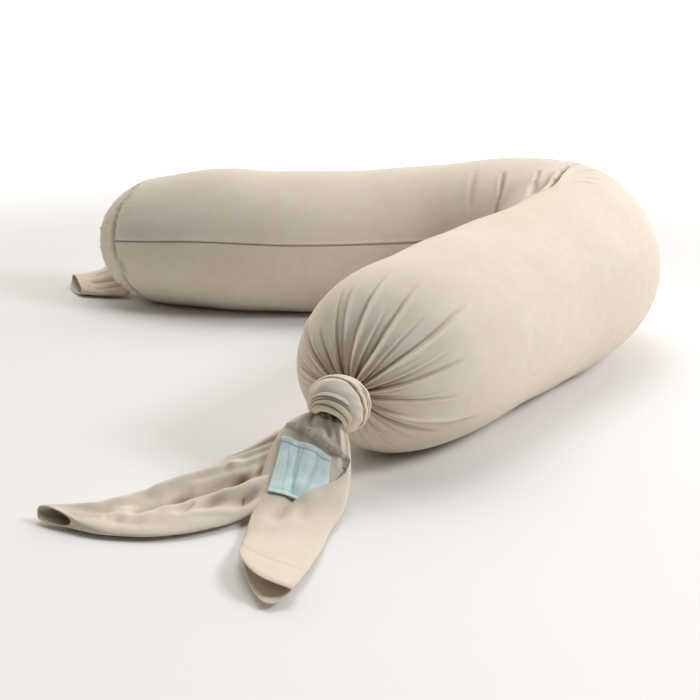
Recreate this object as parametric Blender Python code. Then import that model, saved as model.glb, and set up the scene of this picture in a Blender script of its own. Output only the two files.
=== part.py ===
"""Pregnancy pillow: a long filled tube of cotton jersey, bent into a V, its cover tied in a knot at each end.

Run it with blender --background --python part.py, or from Blender's text editor.
Metres, +Z up. The floor is z = 0, and the origin lies on it under the middle of the whole thing.
The knotted end with the label comes forward, towards -Y. The other end lies behind it, to the left.
"""

import math
from collections import namedtuple

import bmesh
import bpy
import numpy as np
from mathutils import Vector
from mathutils.bvhtree import BVHTree

for old in list(bpy.data.objects):
    bpy.data.objects.remove(old)

# Driving dimensions
MIDDLE = (0.012, 0.025)  # where the middle of the whole thing lies in the tables below
CAP_LENGTH = 0.108       # from a knot to where the tube has its full girth
CAP_BLUNTNESS = 2.15     # 2 is a round end, more is a blunter one
NECK_RADIUS = 0.018      # the gathered cloth where it enters a knot
NECK_LENGTH = 0.006
KNOT_DEPTH = 0.046
KNOT_WIDTH = 0.066
KNOT_HEIGHT = 0.060
KNOT_BLUNTNESS = 2.7
KNOT_TURNS = 3.2         # how often the rolled cloth winds round the knot
KNOT_ROLL = 0.0024       # how deep the grooves between the windings are
CLOTH = 0.002            # one layer of the tails' cloth
GAP = 0.0005             # between pieces that touch
LABEL_THICKNESS = 0.0014
LABEL_LIFT = 0.0013      # the label's tape bridges the hollows of the cloth under it

# How fine the solids are
CAP_SIDES = 96
CAP_RINGS = 11
RING_SPACING = 0.038
KNOT_SIDES = 32
KNOT_RINGS = 15
TAIL_SIDES = 24
TAIL_SPACING = 0.021
LABEL_STEPS = 7

# The tube's middle line from the front knot to the rear one, with its half sizes across and upwards
Station = namedtuple("Station", "x y z half_width half_height")
COURSE = (
    Station(0.045, -0.386, 0.101, 0.108, 0.100),
    Station(0.088, -0.304, 0.110, 0.112, 0.112),
    Station(0.142, -0.243, 0.115, 0.117, 0.119),
    Station(0.209, -0.146, 0.119, 0.121, 0.124),
    Station(0.287, -0.044, 0.122, 0.121, 0.127),
    Station(0.352, 0.043, 0.126, 0.123, 0.131),
    Station(0.391, 0.130, 0.131, 0.127, 0.136),
    Station(0.388, 0.224, 0.136, 0.131, 0.142),
    Station(0.318, 0.308, 0.134, 0.131, 0.140),
    Station(0.222, 0.370, 0.126, 0.128, 0.132),
    Station(0.100, 0.392, 0.120, 0.125, 0.125),
    Station(-0.045, 0.382, 0.119, 0.124, 0.123),
    Station(-0.188, 0.406, 0.120, 0.122, 0.125),
    Station(-0.285, 0.448, 0.110, 0.115, 0.115),
    Station(-0.370, 0.530, 0.091, 0.108, 0.102),
)

# The creases of a gathered end: the angle round the tube in degrees (0 left, 90 top, 180 right, seen from
# in front of the knot), how far the crease reaches over the cloth, and how high it stands
Pleat = namedtuple("Pleat", "angle reach height")
FRONT_PLEATS = (
    Pleat(8, 0.085, 0.0040),
    Pleat(34, 0.120, 0.0055),
    Pleat(51, 0.080, 0.0042),
    Pleat(67, 0.120, 0.0055),
    Pleat(79, 0.120, 0.0052),
    Pleat(94, 0.145, 0.0062),
    Pleat(104, 0.100, 0.0048),
    Pleat(116, 0.155, 0.0062),
    Pleat(128, 0.115, 0.0050),
    Pleat(142, 0.190, 0.0064),
    Pleat(155, 0.115, 0.0050),
    Pleat(167, 0.140, 0.0055),
    Pleat(188, 0.120, 0.0052),
    Pleat(206, 0.185, 0.0055),
    Pleat(219, 0.120, 0.0048),
    Pleat(238, 0.085, 0.0044),
    Pleat(262, 0.100, 0.0048),
    Pleat(290, 0.075, 0.0040),
    Pleat(318, 0.080, 0.0042),
    Pleat(345, 0.075, 0.0040),
)
REAR_PLEAT_COUNT = 18
GATHER_COUNT = 24        # small folds pressed together at the neck
GATHER_HEIGHT = 0.0016
GATHER_REACH = 0.045

# A tail of the cover is a flattened sleeve. Its rows run from the knot to the open end: the edge farther
# from the eye, the edge nearer to it, and half the sleeve's thickness between them
TailRow = namedtuple("TailRow", "far_x far_y far_z near_x near_y near_z half_thickness")
FRONT_LEFT_TAIL = (
    TailRow(0.035, -0.405, 0.086, 0.015, -0.428, 0.064, 0.010),
    TailRow(0.000, -0.400, 0.073, -0.004, -0.440, 0.048, 0.010),
    TailRow(-0.030, -0.396, 0.062, -0.030, -0.472, 0.022, 0.009),
    TailRow(-0.062, -0.400, 0.045, -0.064, -0.506, 0.009, 0.008),
    TailRow(-0.100, -0.403, 0.027, -0.105, -0.531, 0.007, 0.007),
    TailRow(-0.140, -0.424, 0.016, -0.148, -0.542, 0.006, 0.006),
    TailRow(-0.180, -0.451, 0.010, -0.185, -0.540, 0.006, 0.006),
    TailRow(-0.225, -0.481, 0.010, -0.212, -0.534, 0.007, 0.008),
    TailRow(-0.272, -0.492, 0.012, -0.238, -0.522, 0.010, 0.011),
)
FRONT_RIGHT_TAIL = (
    TailRow(0.000, -0.405, 0.085, 0.040, -0.420, 0.078, 0.011),
    TailRow(-0.026, -0.418, 0.074, 0.045, -0.434, 0.058, 0.010),
    TailRow(-0.041, -0.438, 0.052, 0.046, -0.450, 0.038, 0.009),
    TailRow(-0.051, -0.466, 0.027, 0.043, -0.472, 0.020, 0.008),
    TailRow(-0.056, -0.500, 0.010, 0.036, -0.502, 0.009, 0.007),
    TailRow(-0.058, -0.524, 0.007, 0.025, -0.534, 0.007, 0.007),
    TailRow(-0.059, -0.544, 0.007, 0.017, -0.574, 0.007, 0.007),
    TailRow(-0.060, -0.559, 0.009, 0.006, -0.616, 0.009, 0.009),
    TailRow(-0.060, -0.573, 0.011, -0.006, -0.652, 0.011, 0.012),
)
REAR_LEFT_TAIL = (
    TailRow(-0.385, 0.590, 0.075, -0.372, 0.556, 0.062, 0.010),
    TailRow(-0.402, 0.612, 0.055, -0.374, 0.502, 0.026, 0.009),
    TailRow(-0.424, 0.614, 0.034, -0.366, 0.456, 0.008, 0.007),
    TailRow(-0.450, 0.606, 0.020, -0.392, 0.450, 0.008, 0.008),
    TailRow(-0.478, 0.596, 0.013, -0.424, 0.454, 0.008, 0.008),
    TailRow(-0.500, 0.584, 0.012, -0.454, 0.462, 0.010, 0.011),
)
REAR_RIGHT_TAIL = (
    TailRow(-0.365, 0.585, 0.085, -0.390, 0.590, 0.062, 0.010),
    TailRow(-0.330, 0.612, 0.066, -0.388, 0.622, 0.048, 0.010),
    TailRow(-0.300, 0.632, 0.036, -0.372, 0.660, 0.024, 0.009),
    TailRow(-0.262, 0.640, 0.014, -0.338, 0.700, 0.010, 0.008),
    TailRow(-0.214, 0.640, 0.008, -0.284, 0.722, 0.008, 0.007),
    TailRow(-0.166, 0.640, 0.008, -0.222, 0.718, 0.008, 0.007),
    TailRow(-0.120, 0.648, 0.009, -0.162, 0.706, 0.009, 0.009),
)

# The label's corners seen from above, on the upper side of the front right tail
Corner = namedtuple("Corner", "x y")
LABEL_CORNERS = (Corner(-0.034, -0.436), Corner(0.024, -0.456), Corner(0.016, -0.502), Corner(-0.042, -0.482))


def between(rows, spacing=None, count=None):
    """Rows read from a smooth curve through the given rows, evenly spaced or so many."""
    table = np.array(rows, float)
    chord = np.linalg.norm(np.diff(table[:, :3], axis=0), axis=1)
    at = np.concatenate([[0.0], np.cumsum(chord)])
    slope = np.gradient(table, at, axis=0)
    where = np.linspace(0.0, at[-1], count or max(2, round(at[-1] / spacing) + 1))
    span = np.clip(np.searchsorted(at, where, side="right") - 1, 0, len(at) - 2)
    width = (at[span + 1] - at[span])[:, None]
    t = (where - at[span])[:, None] / width
    start, end = table[span], table[span + 1]
    leave, arrive = slope[span] * width, slope[span + 1] * width
    return (
        (2 * t**3 - 3 * t**2 + 1) * start
        + (t**3 - 2 * t**2 + t) * leave
        + (3 * t**2 - 2 * t**3) * end
        + (t**3 - t**2) * arrive
    )


def unit(vectors):
    return vectors / np.linalg.norm(vectors, axis=-1, keepdims=True)


class Course:
    """The tube's middle line, read at any distance from the front neck, also a little past its ends."""

    def __init__(self):
        self.fine = between(COURSE, count=600)
        step = np.linalg.norm(np.diff(self.fine[:, :3], axis=0), axis=1)
        self.at = np.concatenate([[0.0], np.cumsum(step)])
        self.length = self.at[-1]

    def row(self, distance):
        return np.stack([np.interp(distance, self.at, column) for column in self.fine.T], axis=-1)

    def read(self, distance):
        """Centres, half sizes, and the directions left, up and along, at these distances."""
        distance = np.asarray(distance, float)
        inside = np.clip(distance, 0.0, self.length)
        row = self.row(inside)
        along = unit(self.row(inside + 0.004)[..., :3] - self.row(inside - 0.004)[..., :3])
        left = unit(np.cross([0.0, 0.0, 1.0], along))
        centre = row[..., :3] + (distance - inside)[..., None] * along
        return centre, row[..., 3:5], left, np.cross(along, left), along


def rear_pleats():
    """The hidden end's pleats: the same kind as in front, spaced by rule."""
    for k in range(REAR_PLEAT_COUNT):
        sway = math.sin(2.4 * k)
        yield Pleat(
            angle=360 * k / REAR_PLEAT_COUNT + 5 * sway,
            reach=0.12 + 0.03 * math.sin(1.7 * k),
            height=0.0036 + 0.0007 * sway,
        )


def crease_lift(from_knot, radius, angle, pleats):
    """How far the creases lift the cloth, at distances from the knot over the cloth and angles in radians."""
    spacing = 2 * math.pi * radius / CAP_SIDES
    lift = 0.0
    for pleat in pleats:
        across = np.angle(np.exp(1j * (angle - math.radians(pleat.angle)))) * radius
        fade = np.clip(1 - from_knot / pleat.reach, 0, 1) ** 0.7
        rise = np.clip(from_knot / 0.03, 0.3, 1)
        width = np.maximum(0.0025 + 0.02 * from_knot, 1.05 * spacing)
        lift = lift + pleat.height * fade * rise * np.exp(-((across / width) ** 2))
    gathers = np.cos(GATHER_COUNT * angle)
    return lift + GATHER_HEIGHT * gathers * np.clip(1 - from_knot / GATHER_REACH, 0, 1)


def tube_sections(course):
    """For each ring of the tube: its distance along, its share of the full girth, and its way from a knot."""
    power = 2 / CAP_BLUNTNESS
    least = math.asin((NECK_RADIUS / COURSE[0].half_width) ** (1 / power))
    turn = np.linspace(least, math.pi / 2, CAP_RINGS + 1)
    cap_distance = CAP_LENGTH * (1 - np.cos(turn) ** power)
    cap_girth = np.sin(turn) ** power
    middle_count = round((course.length - 2 * CAP_LENGTH) / RING_SPACING) + 1
    middle = np.linspace(CAP_LENGTH, course.length - CAP_LENGTH, middle_count)[1:-1]
    stub = np.array([-NECK_LENGTH, -NECK_LENGTH / 2])
    front_end = np.append(stub, cap_distance)
    distance = np.concatenate([front_end, middle, course.length - front_end[::-1]])
    end_girth = np.append([cap_girth[0]] * len(stub), cap_girth)
    girth = np.concatenate([end_girth, np.ones(len(middle)), end_girth[::-1]])
    step = np.hypot(np.diff(distance), np.diff(girth) * COURSE[0].half_width)
    way = np.concatenate([[0.0], np.cumsum(step)])
    return distance, girth, np.minimum(way, way[-1] - way), way > way[-1] / 2


def tube_rings(course):
    """The rings of the tube's skin, creased near the knots and flattened where they meet the floor."""
    distance, girth, from_knot, rear = tube_sections(course)
    centre, half, left, up, along = course.read(distance)
    angle = np.arange(CAP_SIDES) * 2 * math.pi / CAP_SIDES
    across = (half[:, :1] * girth[:, None] * np.cos(angle))[..., None] * left[:, None]
    upwards = (half[:, 1:] * girth[:, None] * np.sin(angle))[..., None] * up[:, None]
    skin = centre[:, None] + across + upwards
    outward = unit(np.cross(np.roll(skin, -1, axis=1) - np.roll(skin, 1, axis=1), np.gradient(skin, axis=0)))
    radius = (half.mean(axis=1) * girth)[:, None]
    front_lift = crease_lift(from_knot[:, None], radius, angle, FRONT_PLEATS)
    rear_lift = crease_lift(from_knot[:, None], radius, angle, tuple(rear_pleats()))
    skin = skin + np.where(rear[:, None], rear_lift, front_lift)[..., None] * outward
    skin[..., 2] = np.maximum(skin[..., 2], 0.0)
    longest = max(pleat.reach for pleat in FRONT_PLEATS)
    return [ring if way < longest else ring[::2] for ring, way in zip(skin, from_knot)]


def skin_faces(sizes):
    """Faces of a closed skin over rings of these sizes. A ring may have half as many points as the next."""
    faces = []
    start = 0
    for many, other in zip(sizes, sizes[1:]):
        first, second = start, start + many
        for k in range(min(many, other)):
            near, far = (k + 1) % many, (k + 1) % other
            if many == other:
                faces.append((first + k, first + near, second + far, second + k))
            elif many > other:
                a, b, c = 2 * k, 2 * k + 1, (2 * k + 2) % many
                faces.append((first + a, first + b, second + k))
                faces.append((first + b, first + c, second + far))
                faces.append((first + b, second + far, second + k))
            else:
                a, b, c = 2 * k, 2 * k + 1, (2 * k + 2) % other
                faces.append((first + k, second + b, second + a))
                faces.append((first + near, second + c, second + b))
                faces.append((first + k, first + near, second + b))
        start = second
    faces.append(tuple(range(sizes[0]))[::-1])
    faces.append(tuple(range(start, start + sizes[-1])))
    return faces


def add_object(name, rings, material, sharp=50):
    """A named object with a closed skin over the rings, its faces turned outwards."""
    points = np.concatenate(rings) - [MIDDLE[0], MIDDLE[1], 0.0]
    mesh = bpy.data.meshes.new(name)
    mesh.from_pydata([tuple(p) for p in points], [], skin_faces([len(ring) for ring in rings]))
    skin = bmesh.new()
    skin.from_mesh(mesh)
    bmesh.ops.recalc_face_normals(skin, faces=skin.faces)
    skin.to_mesh(mesh)
    skin.free()
    mesh.materials.append(material)
    obj = bpy.data.objects.new(name, mesh)
    bpy.context.scene.collection.objects.link(obj)
    mesh.shade_smooth()
    mesh.set_sharp_from_angle(angle=math.radians(sharp))
    return obj


def cut_away(obj, cutter):
    """Takes the cutter's room out of the object."""
    cutter.hide_render = True
    cutter.display_type = "WIRE"
    boolean = obj.modifiers.new(cutter.name, "BOOLEAN")
    boolean.operation = "DIFFERENCE"
    boolean.solver = "EXACT"
    boolean.object = cutter


def cloth_material(name, colour, roughness):
    material = bpy.data.materials.new(name)
    material.use_nodes = True
    shader = material.node_tree.nodes["Principled BSDF"]
    shader.inputs["Base Color"].default_value = (*colour, 1.0)
    shader.inputs["Roughness"].default_value = roughness
    shader.inputs["Metallic"].default_value = 0.0
    return material


def knot_rings(course, distance, outward_sign, grow=0.0):
    """A knot of rolled cloth at a neck: a blunt lump with grooves that wind round it."""
    neck, half, left, up, along = course.read(distance)
    outward = along * outward_sign
    share = np.linspace(0.0, 1.0, KNOT_RINGS)
    near_end, far_end = 0.10, 0.93
    span = near_end + (far_end - near_end) * (0.5 - 0.5 * np.cos(math.pi * share))
    bulge = (1 - np.abs(2 * span - 1) ** KNOT_BLUNTNESS) ** (1 / KNOT_BLUNTNESS)
    angle = np.arange(KNOT_SIDES) * 2 * math.pi / KNOT_SIDES
    winding = np.cos(2 * math.pi * KNOT_TURNS * span[:, None] + angle * outward_sign)
    roll = KNOT_ROLL * winding * np.sin(math.pi * share)[:, None] ** 0.5
    wide = bulge[:, None] * KNOT_WIDTH / 2 + roll + grow
    high = bulge[:, None] * KNOT_HEIGHT / 2 + roll + grow
    depth = NECK_LENGTH + GAP + KNOT_DEPTH * (span - near_end) / (far_end - near_end)
    depth = depth + grow * (2 * share - 1)
    middle = neck + depth[:, None] * outward
    across = (wide * np.cos(angle))[..., None] * left + (high * np.sin(angle))[..., None] * up
    return list(middle[:, None] + across)


def tail_rings(rows, grow=0.0, lip=0.012, slant=0.0, roll=0.0):
    """A flattened sleeve of cloth: its outer skin from the knot to the open end, then the inner side back.

    The lower layer reaches past the upper one by the lip, slanted towards the near edge or not, and the
    roll is a rounded fold along the far edge.
    """
    table = between(rows, spacing=TAIL_SPACING)
    far, near, half_thickness = table[:, :3], table[:, 3:6], table[:, 6]
    across = unit(near - far)
    along = unit(np.gradient((far + near) / 2, axis=0))
    normal = unit(np.cross(across, along))
    normal = normal * np.sign(normal[:, 2:])
    half_width = np.linalg.norm(near - far, axis=1) / 2
    middle = (far + near) / 2
    last = len(table) - 1
    share = np.linspace(0.0, 1.0, last + 1)
    angle = np.arange(TAIL_SIDES) * 2 * math.pi / TAIL_SIDES

    def ring(k, inset, back=0.0):
        side = np.sign(np.cos(angle)) * np.abs(np.cos(angle)) ** 0.8
        flat = np.sign(np.sin(angle)) * np.abs(np.sin(angle)) ** 0.6
        wide = (half_width[k] - 1.6 * inset) * side
        thick = (half_thickness[k] - inset) * flat
        ridge = roll * np.exp(-(((side + 0.62) / 0.2) ** 2)) * math.sin(math.pi * share[k]) ** 0.7
        valley = 0.5 * roll * np.exp(-(((side + 0.2) / 0.2) ** 2)) * math.sin(math.pi * share[k])
        raised = thick + (ridge - valley) * (flat > 0)
        reach = lip * share[k] ** 8 * np.clip((0.3 - flat) / 1.3, 0, 1) * (1 - 0.8 * side**2) - back
        forward = along[k] + slant * across[k]
        points = middle[k] + wide[:, None] * across[k] + raised[:, None] * normal[k]
        points = points + reach[:, None] * forward
        points[:, 2] = np.maximum(points[:, 2], inset)
        return points

    outer = [ring(k, -grow) for k in range(last + 1)]
    if grow:
        return outer
    mouth = ring(last, CLOTH / 2, back=-0.0008)
    inner = [ring(k, CLOTH) for k in range(last, round(0.35 * last), -1)]
    return outer + [mouth] + inner


def label_rings(tail):
    """A square of woven tape lying on the tail: every ring is one strip of its lower and upper side."""
    surface = BVHTree.FromObject(tail, bpy.context.evaluated_depsgraph_get())
    a, b, c, d = (np.array(corner) - MIDDLE for corner in LABEL_CORNERS)
    rings = []
    for down in np.linspace(0.0, 1.0, LABEL_STEPS):
        left_end, right_end = a + (d - a) * down, b + (c - b) * down
        strip = []
        for across in np.linspace(0.0, 1.0, LABEL_STEPS):
            x, y = left_end + (right_end - left_end) * across
            point, normal, _, _ = surface.ray_cast(Vector((x, y, 0.3)), Vector((0, 0, -1)))
            strip.append((np.array(point), np.array(normal)))
        normal = unit(sum(normal for _, normal in strip))
        lower = [point + LABEL_LIFT * normal for point, _ in strip]
        upper = [point + (LABEL_LIFT + LABEL_THICKNESS) * normal for point, _ in strip]
        rings.append(np.array(lower + upper[::-1]) + [MIDDLE[0], MIDDLE[1], 0.0])
    return rings


SAND_JERSEY = cloth_material("sand_jersey", (0.60, 0.51, 0.40), 0.9)
MINT_SATIN = cloth_material("mint_satin", (0.45, 0.66, 0.63), 0.55)

# The filled tube, with its cover gathered at both ends
course = Course()
add_object("pillow_body", tube_rings(course), SAND_JERSEY)

# The knots, each against the neck of gathered cloth
add_object("front_knot", knot_rings(course, 0.0, -1), SAND_JERSEY)
add_object("rear_knot", knot_rings(course, course.length, 1), SAND_JERSEY)
front_room = add_object("front_knot_room", knot_rings(course, 0.0, -1, grow=GAP), SAND_JERSEY)
rear_room = add_object("rear_knot_room", knot_rings(course, course.length, 1, grow=GAP), SAND_JERSEY)

# The tails of the cover, each cut clear of its knot and of the tail that lies on it
left_tail = add_object("front_tail_left", tail_rings(FRONT_LEFT_TAIL, roll=0.006), SAND_JERSEY)
right_rings = tail_rings(FRONT_RIGHT_TAIL, lip=0.042, slant=0.4)
right_tail = add_object("front_tail_right", right_rings, SAND_JERSEY)
room_rings = tail_rings(FRONT_RIGHT_TAIL, grow=GAP, lip=0.042, slant=0.4)
right_room = add_object("front_tail_right_room", room_rings, SAND_JERSEY)
rear_left_tail = add_object("rear_tail_left", tail_rings(REAR_LEFT_TAIL), SAND_JERSEY)
rear_right_tail = add_object("rear_tail_right", tail_rings(REAR_RIGHT_TAIL), SAND_JERSEY)
rear_left_room = add_object("rear_tail_left_room", tail_rings(REAR_LEFT_TAIL, grow=GAP), SAND_JERSEY)
add_object("label", label_rings(right_tail), MINT_SATIN)
cut_away(left_tail, front_room)
cut_away(left_tail, right_room)
cut_away(right_tail, front_room)
cut_away(rear_left_tail, rear_room)
cut_away(rear_right_tail, rear_room)
cut_away(rear_right_tail, rear_left_room)
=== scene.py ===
# %% [markdown]
# # A knotted pregnancy pillow
# A long filled tube of cotton jersey lies on a pale floor, bent into a V. Its cover is gathered and tied in
# a knot at each end, and its ends fall from each knot as two loose sleeves. The script opens the model that
# MuJoCo uses, then gives each plain solid a dressed piece.

# %% Open the frame
import math
from collections import namedtuple

import bmesh
import bpy
import numpy as np
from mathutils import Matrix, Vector
from mathutils.bvhtree import BVHTree


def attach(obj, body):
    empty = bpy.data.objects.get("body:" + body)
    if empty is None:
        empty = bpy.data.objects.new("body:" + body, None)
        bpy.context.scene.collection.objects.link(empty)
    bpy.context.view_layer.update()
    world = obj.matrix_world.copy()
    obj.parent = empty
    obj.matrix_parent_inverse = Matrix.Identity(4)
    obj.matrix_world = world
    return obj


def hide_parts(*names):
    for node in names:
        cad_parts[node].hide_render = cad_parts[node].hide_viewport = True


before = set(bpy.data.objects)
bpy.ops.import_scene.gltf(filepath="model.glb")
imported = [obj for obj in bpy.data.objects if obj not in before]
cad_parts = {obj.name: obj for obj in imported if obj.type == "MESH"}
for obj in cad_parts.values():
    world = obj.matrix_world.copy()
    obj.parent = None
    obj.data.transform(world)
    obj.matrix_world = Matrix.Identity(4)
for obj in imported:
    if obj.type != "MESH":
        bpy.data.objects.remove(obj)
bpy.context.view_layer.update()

# %% [markdown]
# ## The camera
# A pinhole camera a little above the pillow, looking down by 17 degrees. The lens was found by matching the
# outline of the pillow as it lies on the floor: with it both arms get the same girth, as in a real one.

# %% Camera
MIDDLE = np.array([0.012, 0.025, 0.0])    # where the middle of the whole thing lies in the tables below


def in_scene(name, data):
    """A new object in the scene that shows this data."""
    thing = bpy.data.objects.new(name, data)
    bpy.context.scene.collection.objects.link(thing)
    return thing


camera = in_scene("camera", bpy.data.cameras.new("camera"))
bpy.context.scene.camera = camera
camera.location = Vector((0.045, -1.53, 0.493)) - Vector(MIDDLE)
camera.rotation_euler = (math.radians(90 - 16.65), 0, 0)
camera.data.sensor_width = 36
camera.data.lens = 56.57

# %% [markdown]
# ## Floor and light
# The real one was lit in a white studio. Here one soft area light stands at the right and a broad one hangs
# over the pillow. The white wall is a world that is bright at the back and dark in front, which leaves the
# knotted end in shade, though seen directly it is white on every side. The paper glows a little far off.
# The plain Standard view keeps its white and the soft contrast of the cloth.

# %% Floor and lights
AIM = (0.05, 0.05, 0.1)   # what the lamps point at
DARK_FRONT = 0.03         # the world's strength in front
WHITE_WALL = 1.2          # and behind


def linear(hexed):
    """An sRGB hex colour as linear red, green, blue and alpha."""
    parts = [int(hexed[k:k + 2], 16) / 255 for k in (1, 3, 5)]
    return [p / 12.92 if p <= 0.04045 else ((p + 0.055) / 1.055) ** 2.4 for p in parts] + [1.0]


def plug(tree, node, links):
    """Gives inputs of a node, by name or number, an output or a value."""
    for key, value in links.items():
        if isinstance(value, bpy.types.NodeSocket):
            tree.links.new(value, node.inputs[key])
        else:
            node.inputs[key].default_value = value


def add_node(tree, kind, links=None, **settings):
    """The outputs of a new node with these settings, plugged in."""
    node = tree.nodes.new(kind)
    for name, value in settings.items():
        setattr(node, name, value)
    plug(tree, node, links or {})
    return node.outputs


def new_material(name):
    """A material, its node tree and its Principled shader."""
    material = bpy.data.materials.new(name)
    material.use_nodes = True
    return material, material.node_tree, material.node_tree.nodes["Principled BSDF"]


def area_light(name, place, size, watts, colour):
    """A round soft light that points at the pillow."""
    light = bpy.data.lights.new(name, "AREA")
    light.shape = "DISK"
    light.size = size
    light.energy = watts
    light.color = linear(colour)[:3]
    lamp = in_scene(name, light)
    lamp.location = place
    lamp.rotation_euler = (Vector(AIM) - Vector(place)).to_track_quat("-Z", "Y").to_euler()


area_light("key_right", (2.2, -0.8, 1.8), 0.9, 41, "#F6F9FF")
area_light("top_soft", (0.1, 0.5, 2.4), 1.6, 20, "#FCFCFF")

world = bpy.data.worlds.new("white_studio")
bpy.context.scene.world = world
world.use_nodes = True
studio = world.node_tree
towards = add_node(studio, "ShaderNodeTexCoord")["Generated"]
north = add_node(studio, "ShaderNodeSeparateXYZ", {"Vector": towards})["Y"]
wall = add_node(studio, "ShaderNodeMapRange", {
    "Value": north, "From Min": -0.2, "From Max": 0.4, "To Min": DARK_FRONT, "To Max": WHITE_WALL},
    interpolation_type="SMOOTHSTEP")
seen = add_node(studio, "ShaderNodeLightPath")["Is Camera Ray"]
white_wall = add_node(studio, "ShaderNodeMix", {
    "Factor": seen, "A": wall[0], "B": WHITE_WALL}, data_type="FLOAT")
plug(studio, studio.nodes["Background"], {"Color": linear("#FFFAF2"), "Strength": white_wall["Result"]})

floor_paper, paper_tree, paper = new_material("white_studio_paper")
paper_place = add_node(paper_tree, "ShaderNodeTexCoord")["Object"]
far_off = add_node(paper_tree, "ShaderNodeVectorMath", {0: paper_place}, operation="LENGTH")["Value"]
glow = add_node(paper_tree, "ShaderNodeMapRange", {
    "Value": far_off, "From Min": 0.8, "From Max": 3.2, "To Min": 0.0, "To Max": 0.75},
    interpolation_type="SMOOTHSTEP")
plug(paper_tree, paper, {
    "Base Color": linear("#F1F0EE"), "Roughness": 0.9, "Emission Color": linear("#FFFFFF"),
    "Emission Strength": glow[0]})
bpy.ops.mesh.primitive_plane_add(size=14, location=(0, 0, -0.0005))
studio_floor = bpy.context.object
studio_floor.name = "studio_floor"
studio_floor.data.materials.append(floor_paper)
bpy.context.scene.view_settings.view_transform = "Standard"
print("camera, floor and lights")

# %% [markdown]
# ## The cloth
# Cotton jersey is a fine knit: matt, a little fuzzy at grazing angles, with thin ribs along the piece. They
# are 0.7 mm apart, too fine to show here, so they are drawn at 1.6 mm. The colour wanders slightly over a
# hand's width, as undyed cotton does. Deep folds hold less light, and that shade is painted into the colour:
# each piece's "fold" value turns it towards a dark fold colour of painted shade.

# %% Sand-coloured cotton jersey
RIB_SPACING = 0.0016
WAVE_OF_A_METRE = 0.314   # the wave texture's scale for waves a metre long


def noise(tree, place, scale, detail, roughness=0.5):
    """The grey patches of a noise texture."""
    return add_node(tree, "ShaderNodeTexNoise", {
        "Vector": place, "Scale": scale, "Detail": detail, "Roughness": roughness})["Fac"]


def mix_colours(tree, share, first, second):
    """A colour that goes from the first to the second as the share does."""
    return add_node(tree, "ShaderNodeMix", {
        "Factor": share, "A": first, "B": second}, data_type="RGBA")["Result"]


def dye_and_painted_shade(tree, patches, low, high, colours):
    """A colour that wanders between two as the patches do, and turns to a third, painted shade, in the folds.
    """
    dark, light, painted_shade_colour = (linear(hexed) for hexed in colours)
    spread = add_node(tree, "ShaderNodeMapRange", {"Value": patches, "From Min": low, "From Max": high})
    tint = mix_colours(tree, spread[0], dark, light)
    # Painted shade: the "fold" value turns the colour towards the third, dark colour.
    fold = add_node(tree, "ShaderNodeAttribute", attribute_name="fold")["Fac"]
    return mix_colours(tree, fold, tint, painted_shade_colour)


def jersey(name, *colours):
    """Cotton jersey in dark and light colours, with painted shade in the folds, on a UV map in metres."""
    material, tree, shader = new_material(name)
    uv = add_node(tree, "ShaderNodeUVMap", uv_map="cloth")["UV"]
    place = add_node(tree, "ShaderNodeTexCoord")["Object"]
    both = add_node(tree, "ShaderNodeMath", {
        0: noise(tree, place, 9.0, 3.0, 0.6), 1: noise(tree, place, 60.0, 4.0)}, operation="MULTIPLY")
    ribs = add_node(tree, "ShaderNodeTexWave", {
        "Vector": uv, "Scale": WAVE_OF_A_METRE / RIB_SPACING, "Distortion": 0.6, "Detail": 1.0,
        "Detail Scale": 2.0}, bands_direction="X")
    knit = add_node(tree, "ShaderNodeMath", {0: ribs["Fac"], 1: noise(tree, uv, 700.0, 2.0)}, operation="ADD")
    bump = add_node(tree, "ShaderNodeBump", {"Height": knit[0], "Strength": 0.22, "Distance": 0.0004})
    plug(tree, shader, {
        "Base Color": dye_and_painted_shade(tree, both[0], 0.12, 0.42, colours), "Normal": bump["Normal"],
        "Roughness": 0.92, "Sheen Weight": 0.12, "Sheen Roughness": 0.5, "Specular IOR Level": 0.2})
    return material


# 8A745C is the painted shade of the folds.
SAND_JERSEY = jersey("sand_cotton_jersey", "#E2D4C1", "#E8DCCB", "#8A745C")
print("cloth", SAND_JERSEY.name)

# %% [markdown]
# ## Skins of rings
# Tube, knots and sleeves are all skins: rings of points that follow one another. These helpers read a
# smooth curve through a table, and turn rings into a mesh whose UV map is in metres, so a knit keeps its
# scale.

# %% Helpers for skins


def between(rows, spacing=None, count=None):
    """Rows read from a smooth curve through the given rows, at about this spacing or so many."""
    given = np.array(rows, float)
    chord = np.linalg.norm(np.diff(given[:, :3], axis=0), axis=1)
    knots = np.concatenate([[0.0], np.cumsum(chord)])
    slope = np.gradient(given, knots, axis=0)
    where = np.linspace(0.0, 1.0, count or max(2, round(knots[-1] / spacing) + 1)) * knots[-1]
    span = np.clip(np.searchsorted(knots, where, side="right") - 1, 0, len(knots) - 2)
    width = (knots[span + 1] - knots[span])[:, None]
    t = (where - knots[span])[:, None] / width
    start, end = given[span], given[span + 1]
    leave, arrive = slope[span] * width, slope[span + 1] * width
    return (
        (2 * t**3 - 3 * t**2 + 1) * start
        + (t**3 - 2 * t**2 + t) * leave
        + (3 * t**2 - 2 * t**3) * end
        + (t**3 - t**2) * arrive
    )


def table(kind, *rows):
    """Rows whose columns have the names of this kind."""
    return tuple(kind(*row) for row in rows)


def unit(vectors):
    """Vectors of length 1."""
    return vectors / np.linalg.norm(vectors, axis=-1, keepdims=True)


def clamp(value):
    """The nearest value from 0 to 1."""
    return np.clip(value, 0, 1)


def smooth_step(value):
    """0 up to 0, 1 from 1 on, and a soft rise between them."""
    value = clamp(value)
    return value * value * (3 - 2 * value)


def bell(value):
    """1 at 0, about a third at 1 and next to nothing at 2, on both sides."""
    return np.exp(-(value**2))


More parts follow.
